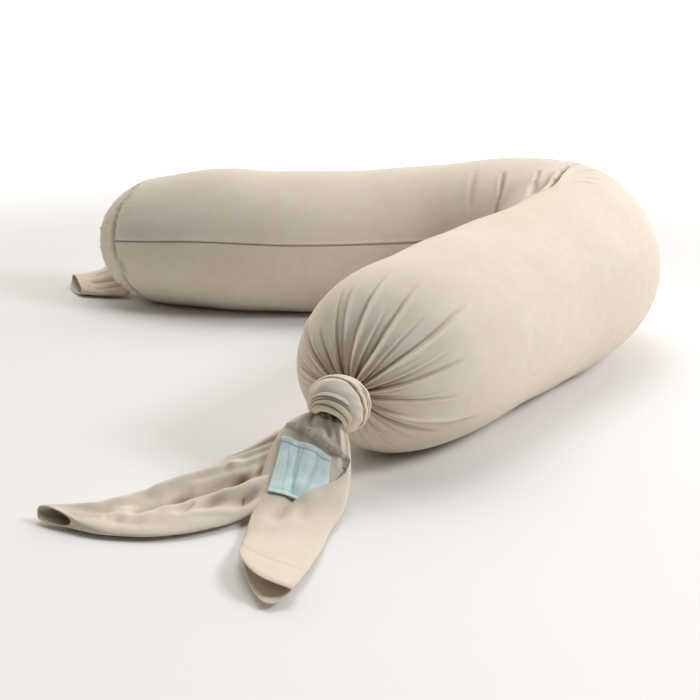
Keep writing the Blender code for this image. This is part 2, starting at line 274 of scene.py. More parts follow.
def once_round(count):
    """Angles in even steps once round."""
    return np.arange(count) * 2 * math.pi / count


def angle_from(angles, start):
    """How far angles lie from a start, the shorter way round."""
    return np.angle(np.exp(1j * (angles - start)))


def to_line(x, y, dx, dy):
    """Each point's share along the line from 0, 0 to dx, dy, and its distance from the line."""
    t = clamp((x * dx + y * dy) / (dx * dx + dy * dy))
    return t, np.hypot(x - t * dx, y - t * dy)


def quads_of(skin):
    """The corners of each face of a skin, as places in its list of points."""
    rings, sides = skin.shape[:2]
    index = np.arange(rings * sides).reshape(rings, sides)
    here, there = index[:-1], index[1:]
    corners = np.stack([here, np.roll(here, -1, 1), np.roll(there, -1, 1), there], axis=-1)
    return corners.reshape(-1, 4).tolist()


def cloth_piece(name, skin, around, along, fold, material):
    """A closed mesh over rings, with its UV map's metres and the painted shade of each point's fold."""
    rings, sides = skin.shape[:2]
    first, last = rings * sides, rings * sides + 1
    start, stop = np.arange(sides), np.arange(first - sides, first)
    points = np.concatenate([skin.reshape(-1, 3), [skin[0].mean(0)], [skin[-1].mean(0)]]) - MIDDLE
    ends = [(b, a, first) for a, b in zip(start, np.roll(start, -1))]
    ends += [(a, b, last) for a, b in zip(stop, np.roll(stop, -1))]
    mesh = bpy.data.meshes.new(name)
    mesh.from_pydata(points, [], quads_of(skin) + ends)
    u = np.append(np.broadcast_to(around, (rings, sides)).ravel(), [0.0, 0.0])
    v = np.append(np.broadcast_to(along, (rings, sides)).ravel(), [np.min(along), np.max(along)])
    corner = np.empty(len(mesh.loops), int)
    mesh.loops.foreach_get("vertex_index", corner)
    uv = np.stack([u[corner], v[corner]], axis=-1)
    mesh.uv_layers.new(name="cloth").data.foreach_set("uv", uv.ravel())
    # Painted shade: the "fold" value darkens the colour; the middle point of each closed end gets 0.6.
    depth = mesh.attributes.new("fold", "FLOAT", "POINT")
    depth.data.foreach_set("value", np.append(clamp(fold).ravel(), [0.6, 0.6]).astype(np.float32))
    mesh.materials.append(material)
    fixed = bmesh.new()
    fixed.from_mesh(mesh)
    bmesh.ops.recalc_face_normals(fixed, faces=fixed.faces)
    fixed.to_mesh(mesh)
    fixed.free()
    mesh.shade_smooth()
    piece = in_scene(name, mesh)
    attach(piece, "root")
    print(name, len(mesh.polygons), "faces")
    return piece


def skin_normals(skin):
    """The direction out of a skin at each of its points."""
    around = np.roll(skin, -1, axis=1) - np.roll(skin, 1, axis=1)
    return unit(np.cross(around, np.gradient(skin, axis=0)))


# %% [markdown]
# ## The filled tube
# The tube's middle line is a table of stations, from the front knot round the bend to the rear knot.
# Between them the skin is round, a little flat underneath, with a blunt gathered end at each knot, as the
# solid is. It has many more points, so that creases a few millimetres wide can be raised, and its middle
# line is eased at the stations, so that no ring shows as an edge.

# %% Course of the tube
Station = namedtuple("Station", "x y z half_width half_height")
COURSE = table(
    Station,
    (0.045, -0.386, 0.101, 0.108, 0.100),
    (0.088, -0.304, 0.110, 0.112, 0.112),
    (0.142, -0.243, 0.115, 0.117, 0.119),
    (0.209, -0.146, 0.119, 0.121, 0.124),
    (0.287, -0.044, 0.122, 0.121, 0.127),
    (0.352, 0.043, 0.126, 0.123, 0.131),
    (0.391, 0.130, 0.131, 0.127, 0.136),
    (0.388, 0.224, 0.136, 0.131, 0.142),
    (0.318, 0.308, 0.134, 0.131, 0.140),
    (0.222, 0.370, 0.126, 0.128, 0.132),
    (0.100, 0.392, 0.120, 0.125, 0.125),
    (-0.045, 0.382, 0.119, 0.124, 0.123),
    (-0.188, 0.406, 0.120, 0.122, 0.125),
    (-0.285, 0.448, 0.110, 0.115, 0.115),
    (-0.370, 0.530, 0.091, 0.108, 0.102),
)
CAP_LENGTH = 0.108
CAP_BLUNTNESS = 2.15
NECK_RADIUS = 0.018
NECK_LENGTH = 0.006
SEAM_ANGLE = 8.5          # degrees from the side that faces left as seen in front of the front knot


COURSE_EASE = 20          # steps of 2.5 mm to each side, over which a corner at a station is rounded


class Course:
    """The tube's middle line, read at any distance from the front neck."""

    def __init__(self):
        fine = between(COURSE, count=600)
        before, after = 2 * fine[0] - fine[COURSE_EASE:0:-1], 2 * fine[-1] - fine[-2:-COURSE_EASE - 2:-1]
        window = np.hanning(2 * COURSE_EASE + 1)
        eased = [np.convolve(column, window / window.sum(), "valid")
                 for column in np.concatenate([before, fine, after]).T]
        self.fine = np.stack(eased, axis=-1)
        step = np.linalg.norm(np.diff(self.fine[:, :3], axis=0), axis=1)
        self.at = np.concatenate([[0.0], np.cumsum(step)])
        self.length = self.at[-1]

    def row(self, distance):
        """Station values at these distances."""
        return np.stack([np.interp(distance, self.at, column) for column in self.fine.T], axis=-1)

    def read(self, distance):
        """Centres, half sizes, and the directions left, up and along, at these distances."""
        distance = np.asarray(distance, float)
        inside = np.clip(distance, 0.0, self.length)
        row = self.row(inside)
        along = unit(self.row(inside + 0.004)[..., :3] - self.row(inside - 0.004)[..., :3])
        left = unit(np.cross([0.0, 0.0, 1.0], along))
        centre = row[..., :3] + (distance - inside)[..., None] * along
        return centre, row[..., 3:5], left, np.cross(along, left), along


course = Course()
print("middle line", round(course.length, 3), "m")

# %% [markdown]
# ## Rings of the tube
# The rings stand 1 to 2 mm apart on the gathered ends, 4 mm round the bend where the cloth wrinkles, and 12
# to 13 mm along the straight arms. Round a ring the points are closer together on top, where the folds
# show, and closest at the long seam, to draw its narrow groove.

# %% Rings of the tube
CAP_RINGS = 84
SHOULDER = 0.030          # over this length a round end passes softly into the straight tube
PLEATS_END = 0.19         # no pleat of the front end reaches further along the middle line
BEND = (0.54, 0.88)       # the stretch of the middle line that wrinkles
power = 2 / CAP_BLUNTNESS
least = math.asin((NECK_RADIUS / COURSE[0].half_width) ** (1 / power))
turn = np.linspace(least, math.pi / 2, CAP_RINGS)
cap_distance = CAP_LENGTH * (1 - np.cos(turn) ** power)
cap_girth = np.sin(turn) ** power
stub = np.array([-NECK_LENGTH, -NECK_LENGTH / 2])
front_end = np.concatenate([stub, cap_distance])
end_girth = np.append([cap_girth[0]] * 2, cap_girth)
pleated_arm = np.arange(CAP_LENGTH + 0.004, PLEATS_END, 0.005)
arm_one = np.concatenate([pleated_arm, np.arange(PLEATS_END, BEND[0], 0.013)])
bend = np.arange(*BEND, 0.0036)
arm_two = np.arange(BEND[1], course.length - CAP_LENGTH - 0.004, 0.012)
rear_end = course.length - front_end[::-2]
distance = np.concatenate([front_end, arm_one, bend, arm_two, rear_end])
girth = np.concatenate([end_girth, np.ones(len(arm_one) + len(bend) + len(arm_two)), end_girth[::-2]])
from_end = np.minimum(distance, course.length - distance)
soften = SHOULDER * smooth_step((from_end - 0.045) / 0.05)
window = soften[:, None] * np.linspace(-1, 1, 21)
first_rings = slice(len(front_end) + 20)
girth = np.interp(from_end[:, None] + window, from_end[first_rings], girth[first_rings]).mean(1)
way = np.concatenate([[0.0], np.cumsum(np.hypot(np.diff(distance), np.diff(girth) * COURSE[0].half_width))])
from_knot = np.minimum(way, way[-1] - way)[:, None]
rear = (way > way[-1] / 2)[:, None]

NEAR_SEAM = 4.3           # degrees to each side of the long seam where the points are closest
OFF_SEAM = 5.4            # degrees from the seam to the next point
TOP_END = 236             # degrees round, where the points get sparser underneath
near_seam = SEAM_ANGLE + np.linspace(-NEAR_SEAM, NEAR_SEAM, 19)
over_top = np.linspace(SEAM_ANGLE + OFF_SEAM, TOP_END, 232)
underneath = np.linspace(TOP_END + 2.5, 360 + SEAM_ANGLE - OFF_SEAM, 52)
angle = np.radians(np.concatenate([near_seam, over_top, underneath]))

centre, half, left, up, _ = course.read(distance)
across = (half[:, :1] * girth[:, None] * np.cos(angle))[..., None] * left[:, None]
upwards = (half[:, 1:] * girth[:, None] * np.sin(angle))[..., None] * up[:, None]
tube = centre[:, None] + across + upwards
tube_out = skin_normals(tube)
radius = (half.mean(axis=1) * girth)[:, None]
print("rings", len(distance), "points round", len(angle))

# %% [markdown]
# ## The gathered ends
# Tying the cover pulls its cloth into folds that run from the knot over the round end and fade on the dome.
# Each is a thin fold that leans to one side: it rises softly and falls sharply. The long ones stand in a
# table, and small ones fill the room between them by a seeded rule. Close to the knot the cloth is pressed
# into fine gathers.

# %% Pleats of the gathered ends
Pleat = namedtuple("Pleat", "angle reach height lean")
FRONT_PLEATS = table(
    Pleat,
    (8, 0.085, 0.0040, 1),
    (34, 0.120, 0.0058, 1),
    (51, 0.080, 0.0042, 1),
    (67, 0.120, 0.0056, 1),
    (79, 0.120, 0.0054, -1),
    (94, 0.145, 0.0064, -1),
    (104, 0.100, 0.0048, 1),
    (116, 0.155, 0.0064, -1),
    (128, 0.115, 0.0050, 1),
    (142, 0.190, 0.0066, -1),
    (155, 0.115, 0.0050, 1),
    (167, 0.140, 0.0056, -1),
    (188, 0.120, 0.0056, -1),
    (206, 0.185, 0.0058, 1),
    (219, 0.120, 0.0050, -1),
    (238, 0.085, 0.0046, 1),
    (262, 0.100, 0.0050, 1),
    (290, 0.075, 0.0042, -1),
    (318, 0.080, 0.0044, 1),
    (345, 0.075, 0.0042, -1),
)
SMALL_PLEATS = 46
dice = np.random.default_rng(11)


def small_pleats():
    """Short low folds, spread round the end with some chance."""
    for k in range(SMALL_PLEATS):
        yield Pleat(
            angle=360 * (k + dice.uniform(-0.4, 0.4)) / SMALL_PLEATS,
            reach=dice.uniform(0.045, 0.105),
            height=dice.uniform(0.0012, 0.0026),
            lean=dice.choice((-1, 1)),
        )


def rear_pleats():
    """The hidden end's long folds: the same kind, spaced by rule."""
    for k in range(18):
        sway = math.sin(2.4 * k)
        reach = 0.12 + 0.03 * math.sin(1.7 * k)
        yield Pleat(20 * k + 5 * sway, reach, 0.0040 + 0.0007 * sway, 1 if k % 2 else -1)


def pleat_shape(pleats):
    """How far the folds lift the skin, and the shade painted into their troughs, less on their ridges."""
    lift = np.zeros(tube.shape[:2])
    depth = np.zeros(tube.shape[:2])
    for k, pleat in enumerate(pleats):
        sway = 0.016 * np.sin(from_knot * 30 + 1.9 * k) * smooth_step(from_knot / 0.05)
        turned = angle_from(angle - math.radians(pleat.angle), sway)
        side = turned * radius * pleat.lean
        rise = 0.35 + 0.65 * smooth_step(from_knot / 0.03)
        fade = clamp(1 - from_knot / pleat.reach) ** 0.6 * rise
        soft = 0.0015 + 0.015 * from_knot
        steep = 0.0009 + 0.006 * from_knot
        ridge = np.where(side < 0, bell(side / soft), bell(side / steep))
        trough = bell((side - 2.1 * steep) / (1.1 * steep))
        lift += pleat.height * fade * (ridge - 0.42 * trough)
        # Painted shade in each fold's trough, taken back on its ridge.
        depth += fade * (0.75 * trough - 0.3 * ridge) * min(1.0, pleat.height / 0.004)
    return lift, depth


def end_of_tube(pleats):
    """The long pleats, the small ones between them, and the fine gathers close to the knot."""
    lift, depth = pleat_shape(list(pleats) + list(small_pleats()))
    close = clamp(1 - from_knot / 0.055)
    gathers = np.cos(31 * angle + 3 * np.sin(3 * angle)) + 0.6 * np.cos(47 * angle + 1.0)
    lift += 0.0009 * gathers * close
    # Painted shade between the gathers, and on all the cloth close to the knot.
    depth += 0.35 * clamp(-gathers) * close + 0.30 * clamp(1 - from_knot / 0.07) ** 1.5
    return lift, depth


front_lift, front_painted_shade = end_of_tube(FRONT_PLEATS)
rear_lift, rear_painted_shade = end_of_tube(tuple(rear_pleats()))
lift = np.where(rear, rear_lift, front_lift)
depth = np.where(rear, rear_painted_shade, front_painted_shade)
print("highest fold", round(float(lift.max()) * 1000, 1), "mm")

# %% [markdown]
# ## Seams, and the folds of the bend
# The cover's panel is closed by a seam along the tube and one round it where the rear end begins: narrow
# grooves with a soft lip. Inside the bend the cloth has too much length, so it buckles into a deep slanting
# crease and a few short ones. Each is a line over the skin, given by distance along the tube and angle
# round it.

# %% Seams and bend
MIDDLE_RADIUS = 0.125     # of the tube, which turns a wrinkle's angles to metres
Wrinkle = namedtuple("Wrinkle", "start start_angle end end_angle width depth")
BEND_WRINKLES = table(
    Wrinkle,
    (0.575, 73, 0.640, 75, 0.0050, 0.0105),
    (0.640, 75, 0.680, 81, 0.0045, 0.0100),
    (0.680, 81, 0.705, 88, 0.0036, 0.0070),
    (0.705, 88, 0.724, 106, 0.0030, 0.0040),
    (0.580, 62, 0.660, 68, 0.0130, 0.0050),
    (0.800, 60, 0.770, 38, 0.0042, 0.0042),
    (0.770, 38, 0.745, 10, 0.0050, 0.0040),
    (0.724, 68, 0.675, 60, 0.0040, 0.0030),
    (0.675, 60, 0.611, 57, 0.0060, 0.0040),
    (0.675, 95, 0.697, 111, 0.0024, 0.0030),
    (0.634, 93, 0.640, 103, 0.0022, 0.0026),
    (0.602, 86, 0.615, 103, 0.0028, 0.0018),
    (0.860, 62, 0.835, 30, 0.0060, 0.0020),
    (0.615, 20, 0.640, -25, 0.0080, 0.0060),
    (0.700, 15, 0.705, -30, 0.0070, 0.0050),
)


def wrinkle_press(rows, along_skin, angles, reach):
    """How far grooves along these lines press a skin in, with a low swelling beside them."""
    pressed = np.zeros(np.broadcast(along_skin, angles).shape)
    for row in rows:
        first, last = math.radians(row.start_angle), math.radians(row.end_angle)
        turned = angle_from(angles, first) * reach
        t, gap = to_line(along_skin - row.start, turned, row.end - row.start, (last - first) * MIDDLE_RADIUS)
        gap = gap / row.width
        taper = 0.45 + 0.55 * np.sin(math.pi * t) ** 0.6
        pressed += row.depth * taper * (bell(gap) - 0.35 * bell((gap - 2.1) / 0.9))
    return pressed


buckle = wrinkle_press(BEND_WRINKLES, distance[:, None], angle, radius)
lift -= buckle
# Painted shade in the bend's creases.
depth += clamp(buckle / 0.006) * 0.7

from_seam = angle_from(angle, math.radians(SEAM_ANGLE)) * radius
END_SEAM = course.length - 0.104   # where the seam runs round the tube
seam_share = smooth_step((from_knot - 0.10) / 0.05) * (distance[:, None] < END_SEAM)
seam_groove = bell(from_seam / 0.0013)
lift += seam_share * (0.0009 * bell((from_seam - 0.0035) / 0.002) - 0.0024 * seam_groove)
# Painted shade in the long seam's groove.
depth += seam_share * 0.8 * seam_groove

ring_gap = distance[:, None] - END_SEAM
wobble = 0.0016 * np.sin(5 * angle) + 0.001 * np.sin(11 * angle + 1)
ring_groove = bell((ring_gap - wobble) / 0.0022)
pucker = bell(ring_gap / 0.014) * np.sin(60 * angle + 2 * np.sin(7 * angle))
lift += 0.0004 * pucker - 0.0022 * ring_groove + 0.0012 * bell((ring_gap - 0.006) / 0.004)
# Painted shade in the groove of the seam round the tube.
depth += 0.6 * ring_groove
print("deepest wrinkle", round(float(buckle.max()) * 1000, 1), "mm")

# %% [markdown]
# ## Unevenness, and the finished tube
# A fibre filling is never quite even, so the skin swells and sinks by a millimetre or two over a hand's
# width. The cover is one cloth over its filling, so one padded mesh is the nearest thing to it.

# %% Filling and the finished tube
KNIT_RADIUS = 0.12        # of the tube, as the knit is laid round it


def filling(points, waves, lowest, highest, height):
    """Soft swells: waves in random directions, with lengths from the lowest to the highest."""
    swell = np.zeros(points.shape[:-1])
    for _ in range(waves):
        direction = unit(dice.normal(size=3))
        length = dice.uniform(lowest, highest)
        swell += np.sin(points @ direction * 2 * math.pi / length + dice.uniform(0, 6.28))
    return height * swell / math.sqrt(waves)


calm = smooth_step((from_knot - 0.03) / 0.08)
lift += filling(tube, 14, 0.10, 0.26, 0.0011) * calm + filling(tube, 10, 0.035, 0.07, 0.00014) * calm
skin = tube + lift[..., None] * tube_out
skin[..., 2] = np.maximum(skin[..., 2], 0.0)
girth_metres = (angle - angle[0]) * KNIT_RADIUS
pillow = cloth_piece("filled_jersey_tube", skin, girth_metres, way[:, None], depth, SAND_JERSEY)
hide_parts("pillow_body")

# %% [markdown]
# ## The loose sleeves
# Beyond each knot the empty cover goes on as a sleeve that lies flat. It could be a flat sheet with a
# thickness, but the real one is a tube of cloth, as its dark mouth shows. So each sleeve is a skin of rings
# too: down the outside to the mouth, round the cut edge, and back up the inside.

# %% Tables of the sleeves
TailRow = namedtuple("TailRow", "far_x far_y far_z near_x near_y near_z half_thickness")
FRONT_LEFT_TAIL = table(
    TailRow,
    (0.035, -0.405, 0.086, 0.015, -0.428, 0.064, 0.010),
    (0.000, -0.400, 0.073, -0.004, -0.440, 0.048, 0.010),
    (-0.030, -0.396, 0.062, -0.030, -0.472, 0.022, 0.009),
    (-0.062, -0.400, 0.045, -0.064, -0.506, 0.009, 0.008),
    (-0.100, -0.403, 0.027, -0.105, -0.531, 0.007, 0.007),
    (-0.140, -0.424, 0.016, -0.148, -0.542, 0.006, 0.006),
    (-0.180, -0.451, 0.010, -0.185, -0.540, 0.006, 0.006),
    (-0.225, -0.481, 0.010, -0.212, -0.534, 0.007, 0.008),
    (-0.272, -0.492, 0.012, -0.238, -0.522, 0.010, 0.011),
)
FRONT_RIGHT_TAIL = table(
    TailRow,
    (0.000, -0.405, 0.085, 0.040, -0.420, 0.078, 0.011),
    (-0.026, -0.418, 0.074, 0.045, -0.434, 0.058, 0.010),
    (-0.041, -0.438, 0.052, 0.046, -0.450, 0.038, 0.009),
    (-0.051, -0.466, 0.027, 0.043, -0.472, 0.020, 0.008),
    (-0.056, -0.500, 0.010, 0.036, -0.502, 0.009, 0.007),
    (-0.058, -0.524, 0.007, 0.025, -0.534, 0.007, 0.007),
    (-0.059, -0.544, 0.007, 0.017, -0.574, 0.007, 0.007),
    (-0.060, -0.559, 0.009, 0.006, -0.616, 0.009, 0.009),
    (-0.060, -0.573, 0.011, -0.006, -0.652, 0.011, 0.012),
)
REAR_LEFT_TAIL = table(
    TailRow,
    (-0.385, 0.590, 0.075, -0.372, 0.556, 0.062, 0.010),
    (-0.402, 0.612, 0.055, -0.374, 0.502, 0.026, 0.009),
    (-0.424, 0.614, 0.034, -0.366, 0.456, 0.008, 0.007),
    (-0.450, 0.606, 0.020, -0.392, 0.450, 0.008, 0.008),
    (-0.478, 0.596, 0.013, -0.424, 0.454, 0.008, 0.008),
    (-0.500, 0.584, 0.012, -0.454, 0.462, 0.010, 0.011),
)
REAR_RIGHT_TAIL = table(
    TailRow,
    (-0.365, 0.585, 0.085, -0.390, 0.590, 0.062, 0.010),
    (-0.330, 0.612, 0.066, -0.388, 0.622, 0.048, 0.010),
    (-0.300, 0.632, 0.036, -0.372, 0.660, 0.024, 0.009),
    (-0.262, 0.640, 0.014, -0.338, 0.700, 0.010, 0.008),
    (-0.214, 0.640, 0.008, -0.284, 0.722, 0.008, 0.007),
    (-0.166, 0.640, 0.008, -0.222, 0.718, 0.008, 0.007),
    (-0.120, 0.648, 0.009, -0.162, 0.706, 0.009, 0.009),
)
print("four sleeves")

# %% [markdown]
# ## Folds of a sleeve
# A fold is a line over the sleeve's upper side. Its place is given by two shares: how far from the knot to
# the mouth, and how far across, from -1 at the far edge to 1 at the near edge. A positive depth presses a
# valley, a negative one raises a ridge. Beside the line the cloth swells a little.

# %% Fold tables
Fold = namedtuple("Fold", "share side end_share end_side width depth")
FRONT_LEFT_FOLDS = table(
    Fold,
    (0.14, 0.30, 0.34, 0.02, 0.0070, 0.0055),
    (0.34, 0.02, 0.53, -0.02, 0.0090, 0.0068),
    (0.53, -0.02, 0.66, 0.05, 0.0100, 0.0045),
    (0.05, -0.35, 0.40, -0.80, 0.0035, 0.0035),
    (0.12, -0.10, 0.36, -0.42, 0.0042, -0.0030),
    (0.36, -0.42, 0.62, -0.60, 0.0080, -0.0035),
    (0.16, 0.85, 0.30, 0.62, 0.0090, 0.0034),
    (0.30, 0.62, 0.41, 0.40, 0.0090, 0.0045),
    (0.41, 0.40, 0.50, 0.32, 0.0090, 0.0025),
    (0.47, 0.33, 0.50, 0.55, 0.0024, 0.0022),
    (0.64, 0.62, 0.72, 0.50, 0.0085, 0.0016),
    (0.72, 0.50, 0.78, 0.42, 0.0060, 0.0012),
    (0.33, -0.20, 0.48, -0.28, 0.0050, -0.0018),
    (0.80, -0.10, 0.93, 0.20, 0.0110, 0.0025),
)
FRONT_RIGHT_FOLDS = table(
    Fold,
    (0.56, -0.10, 0.70, -0.32, 0.0090, 0.0024),
    (0.08, 0.90, 0.30, 0.80, 0.0030, 0.0030),
    (0.10, 0.72, 0.24, 0.82, 0.0024, -0.0020),
    (0.62, 0.10, 0.70, 0.22, 0.0070, 0.0013),
    (0.02, 0.10, 0.14, 0.35, 0.0030, 0.0030),
    (0.03, -0.45, 0.12, -0.20, 0.0028, 0.0026),
)
REAR_LEFT_FOLDS = table(
    Fold,
    (0.10, 0.10, 0.80, 0.20, 0.0090, 0.0045),
    (0.15, -0.55, 0.70, -0.45, 0.0070, 0.0030),
    (0.45, 0.55, 0.80, 0.75, 0.0060, 0.0025),
)
REAR_RIGHT_FOLDS = table(
    Fold,
    (0.08, 0.20, 0.60, 0.05, 0.0080, 0.0060),
    (0.10, -0.55, 0.50, -0.30, 0.0060, 0.0040),
    (0.30, 0.70, 0.75, 0.45, 0.0080, 0.0035),
)


def press(folds, share, side, length, half_width):
    """How deep the folds press points at these shares, in metres."""
    pressed = np.zeros(np.broadcast(share, side).shape)
    for fold in folds:
        dx, dy = (fold.end_share - fold.share) * length, (fold.end_side - fold.side) * half_width
        _, gap = to_line((share - fold.share) * length, (side - fold.side) * half_width, dx, dy)
        gap = gap / fold.width
        pressed += fold.depth * (bell(gap) - 0.22 * bell((gap - 2.0) / 0.8))
    return pressed


print("folds in front", len(FRONT_LEFT_FOLDS) + len(FRONT_RIGHT_FOLDS))

# %% [markdown]
# ## Sewing a sleeve
# Near the knot the whole width of cloth is squeezed into lengthwise gathers, which open towards the mouth.
# A layer is 1.3 mm thick at the cut edge, and the hem's stitches press a shallow line.

# %% Sleeves
CLOTH = 0.0013
TAIL_STEP = 0.0026
TAIL_SIDES = 168
HEM = 0.013               # from the last row of a sleeve's table back to its stitches
KNIT_HALF_WIDTH = 0.055   # of a sleeve, as the knit is laid across it
INSIDE_FROM = 0.3         # the inner layer runs from this share of the length to the mouth
Sleeve = namedtuple("Sleeve", "skin share side half_width length depth")


def sleeve(rows, folds, seed, lip=0.012, slant=0.0, roll=0.0, upper_lip=0.0, cut=0.0, flatten=0.0,
           laid_over=None):
    """The rings of one sleeve.

    The layers reach past the last row by the lip and the upper lip, in a direction that slant turns
    sideways. cut pulls the near edge of the mouth back, flatten closes it, and roll raises a ridge along the
    far side. laid_over says how much the upper layer is raised, from the shares along and across.
    """
    read = between(rows, spacing=TAIL_STEP)
    far, near, half_thickness = read[:, :3], read[:, 3:6], read[:, 6:7]
    across, middle = unit(near - far), (far + near) / 2
    along = unit(np.gradient(middle, axis=0))
    normal = unit(np.cross(across, along))
    normal = normal * np.sign(normal[:, 2:])
    half_width = np.linalg.norm(near - far, axis=1)[:, None] / 2
    share = np.linspace(0.0, 1.0, len(read))[:, None]
    at_mouth = share**8
    length = (len(read) - 1) * TAIL_STEP
    turned = once_round(TAIL_SIDES)
    side = np.sign(np.cos(turned)) * np.abs(np.cos(turned)) ** 0.92
    flat = np.sign(np.sin(turned)) * np.abs(np.sin(turned)) ** 0.85
    upper = clamp(flat)
    chance = np.random.default_rng(seed)
    phase = chance.uniform(0, 6.28, 3)

    gather = clamp(1 - share / 0.42) ** 1.4
    folds_across = np.cos(8 * side + phase[0] + 3 * share) + 0.6 * np.cos(13 * side - 5 * share + phase[1])
    pleated = 0.0014 * gather * folds_across * np.sign(flat) * np.abs(flat) ** 0.5
    pressed = press(folds, share, side, length, half_width)
    soft = np.zeros_like(pressed)
    for _ in range(9):
        reach, width = chance.uniform(0.03, 0.09), chance.uniform(0.014, 0.04)
        tilt = chance.uniform(-0.4, 0.4)
        run = share * length / reach + side * half_width * (1 / width + tilt)
        soft += np.sin(2 * math.pi * run + chance.uniform(0, 6.28)) / 9
    soft *= 0.0015 * np.sin(math.pi * clamp(share)) ** 0.5
    ridge = roll * bell((side + 0.62) / 0.2) * np.sin(math.pi * share) ** 0.7
    valley = 0.5 * roll * bell((side + 0.2) / 0.2) * np.sin(math.pi * share)
    laid = laid_over(share, side, length, half_width) if laid_over else 0.0
    shape = ridge - valley - pressed * upper**0.6 + soft * upper + laid * upper**0.3
    top = np.where(flat > 0, 1.0, 0.0) * shape
    hem = -0.0005 * bell(((1 - share) * length - HEM) / 0.0016) * np.sign(flat)

    def layer(inset, back=0.0):
        """The sleeve's rings, this much inside its outside and this much short of its mouth."""
        wide = (half_width - 1.6 * inset) * side
        body = (half_thickness * (1 - flatten * share**6) - inset) * flat
        lift = np.maximum(body + top + pleated + hem, -half_thickness + inset)
        reach = lip * at_mouth * clamp((0.3 - flat) / 1.3) * (1 - 0.8 * side**2) - back
        reach = reach + upper_lip * at_mouth * upper**0.5 * (1 - 0.3 * side) * (1 - 0.3 * side**2)
        reach = reach - cut * side * at_mouth
        forward = along + slant * across
        points = middle[:, None] + wide[..., None] * across[:, None] + lift[..., None] * normal[:, None]
        points = points + reach[..., None] * forward[:, None]
        points[..., 2] = np.maximum(points[..., 2], 0.0003 + inset)
        return points

    outer = layer(0.0)
    rim = layer(CLOTH / 2, back=-0.0006)[-1:]
    from_mouth = slice(None, round(INSIDE_FROM * len(read)), -1)
    skin = np.concatenate([outer, rim, layer(CLOTH)[from_mouth]])
    # Painted shade in the pressed valleys and between the gathers near the knot.
    sunk = clamp(pressed / 0.008) * upper * 0.8 + clamp(-folds_across) * gather * 0.3
    inner_rows = len(skin) - len(outer)
    # Painted shade inside the mouth, darker further in.
    inside = 0.6 * smooth_step(np.arange(inner_rows) * TAIL_STEP / 0.03)[:, None] * np.ones(TAIL_SIDES)
    depth = np.concatenate([sunk, inside])
    full_share = np.concatenate([share, share[-1:], share[from_mouth]])
    return Sleeve(skin, full_share, side, half_width, length, depth)


def hang_sleeve(name, node, made):
    """The sleeve as a piece that stands for its solid."""
    knit_across, knit_along = made.side * KNIT_HALF_WIDTH, made.share * made.length
    piece = cloth_piece(name, made.skin, knit_across, knit_along, made.depth, SAND_JERSEY)
    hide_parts(node)


LapPoint = namedtuple("LapPoint", "share side")
LABEL_LAP = table(
    LapPoint,
    (0.00, 1.30),
    (0.14, 1.02),
    (0.24, 0.96),
    (0.34, 0.86),
    (0.41, 0.70),
    (0.47, 0.42),
    (0.52, 0.12),
    (0.62, -0.25),
    (1.00, -0.60),
)
HOOD = table(
    LapPoint,
    (0.138, -1.00),
    (0.142, -0.50),
    (0.172, 0.00),
    (0.216, 0.50),
    (0.250, 1.00),
)
LAP_HEIGHT = 0.0042
HOOD_HEIGHT = 0.0060
LAP_EDGE = 0.0016         # how far a lap takes to rise, over the cloth


def label_laps(share, side, length, half_width):
    """The cloth that laps over the label's right side, and the fold above its top."""
    lap_line = np.interp(share, [p.share for p in LABEL_LAP], [p.side for p in LABEL_LAP])
    lap = smooth_step((side - lap_line) * half_width / LAP_EDGE) * (1 - smooth_step((share - 0.55) / 0.20))
    hood_line = np.interp(side, [p.side for p in HOOD], [p.share for p in HOOD])
    hood = smooth_step((hood_line - share) * length / LAP_EDGE) * smooth_step(share / 0.05)
    return np.maximum(LAP_HEIGHT * lap * smooth_step((share - 0.08) / 0.06), HOOD_HEIGHT * hood)


left_sleeve = sleeve(FRONT_LEFT_TAIL, FRONT_LEFT_FOLDS, 3, roll=0.006, cut=0.004, flatten=0.3)
RIGHT_MOUTH = {"lip": 0.042, "slant": 0.4, "upper_lip": 0.033, "flatten": 0.3}
right_bare = sleeve(FRONT_RIGHT_TAIL, FRONT_RIGHT_FOLDS, 4, **RIGHT_MOUTH)
right_sleeve = sleeve(FRONT_RIGHT_TAIL, FRONT_RIGHT_FOLDS, 4, laid_over=label_laps, **RIGHT_MOUTH)
rear_left_sleeve = sleeve(REAR_LEFT_TAIL, REAR_LEFT_FOLDS, 5)
rear_right_sleeve = sleeve(REAR_RIGHT_TAIL, REAR_RIGHT_FOLDS, 6)
SLEEVES = (left_sleeve, right_sleeve, rear_left_sleeve, rear_right_sleeve)
hang_sleeve("front_left_sleeve", "front_tail_left", left_sleeve)
hang_sleeve("front_right_sleeve", "front_tail_right", right_sleeve)
hang_sleeve("rear_left_sleeve", "rear_tail_left", rear_left_sleeve)
hang_sleeve("rear_right_sleeve", "rear_tail_right", rear_right_sleeve)
for made in SLEEVES:
    around = 2 * float(2 * made.half_width.mean())
    print("sleeve", round(made.length, 3), "m long,", round(around, 3), "m round on average")

# %% [markdown]
# ## The knots
# Each knot is the cover's own cloth, wound round itself and pulled tight: a thick collar of smooth bands
# with a mouth that the sleeves come out of. A solid lump with a bump pattern would look carved. So the
# collar is a skin that turns over into its mouth, its bands parted by grooves that slant round it as wound
# cloth does.

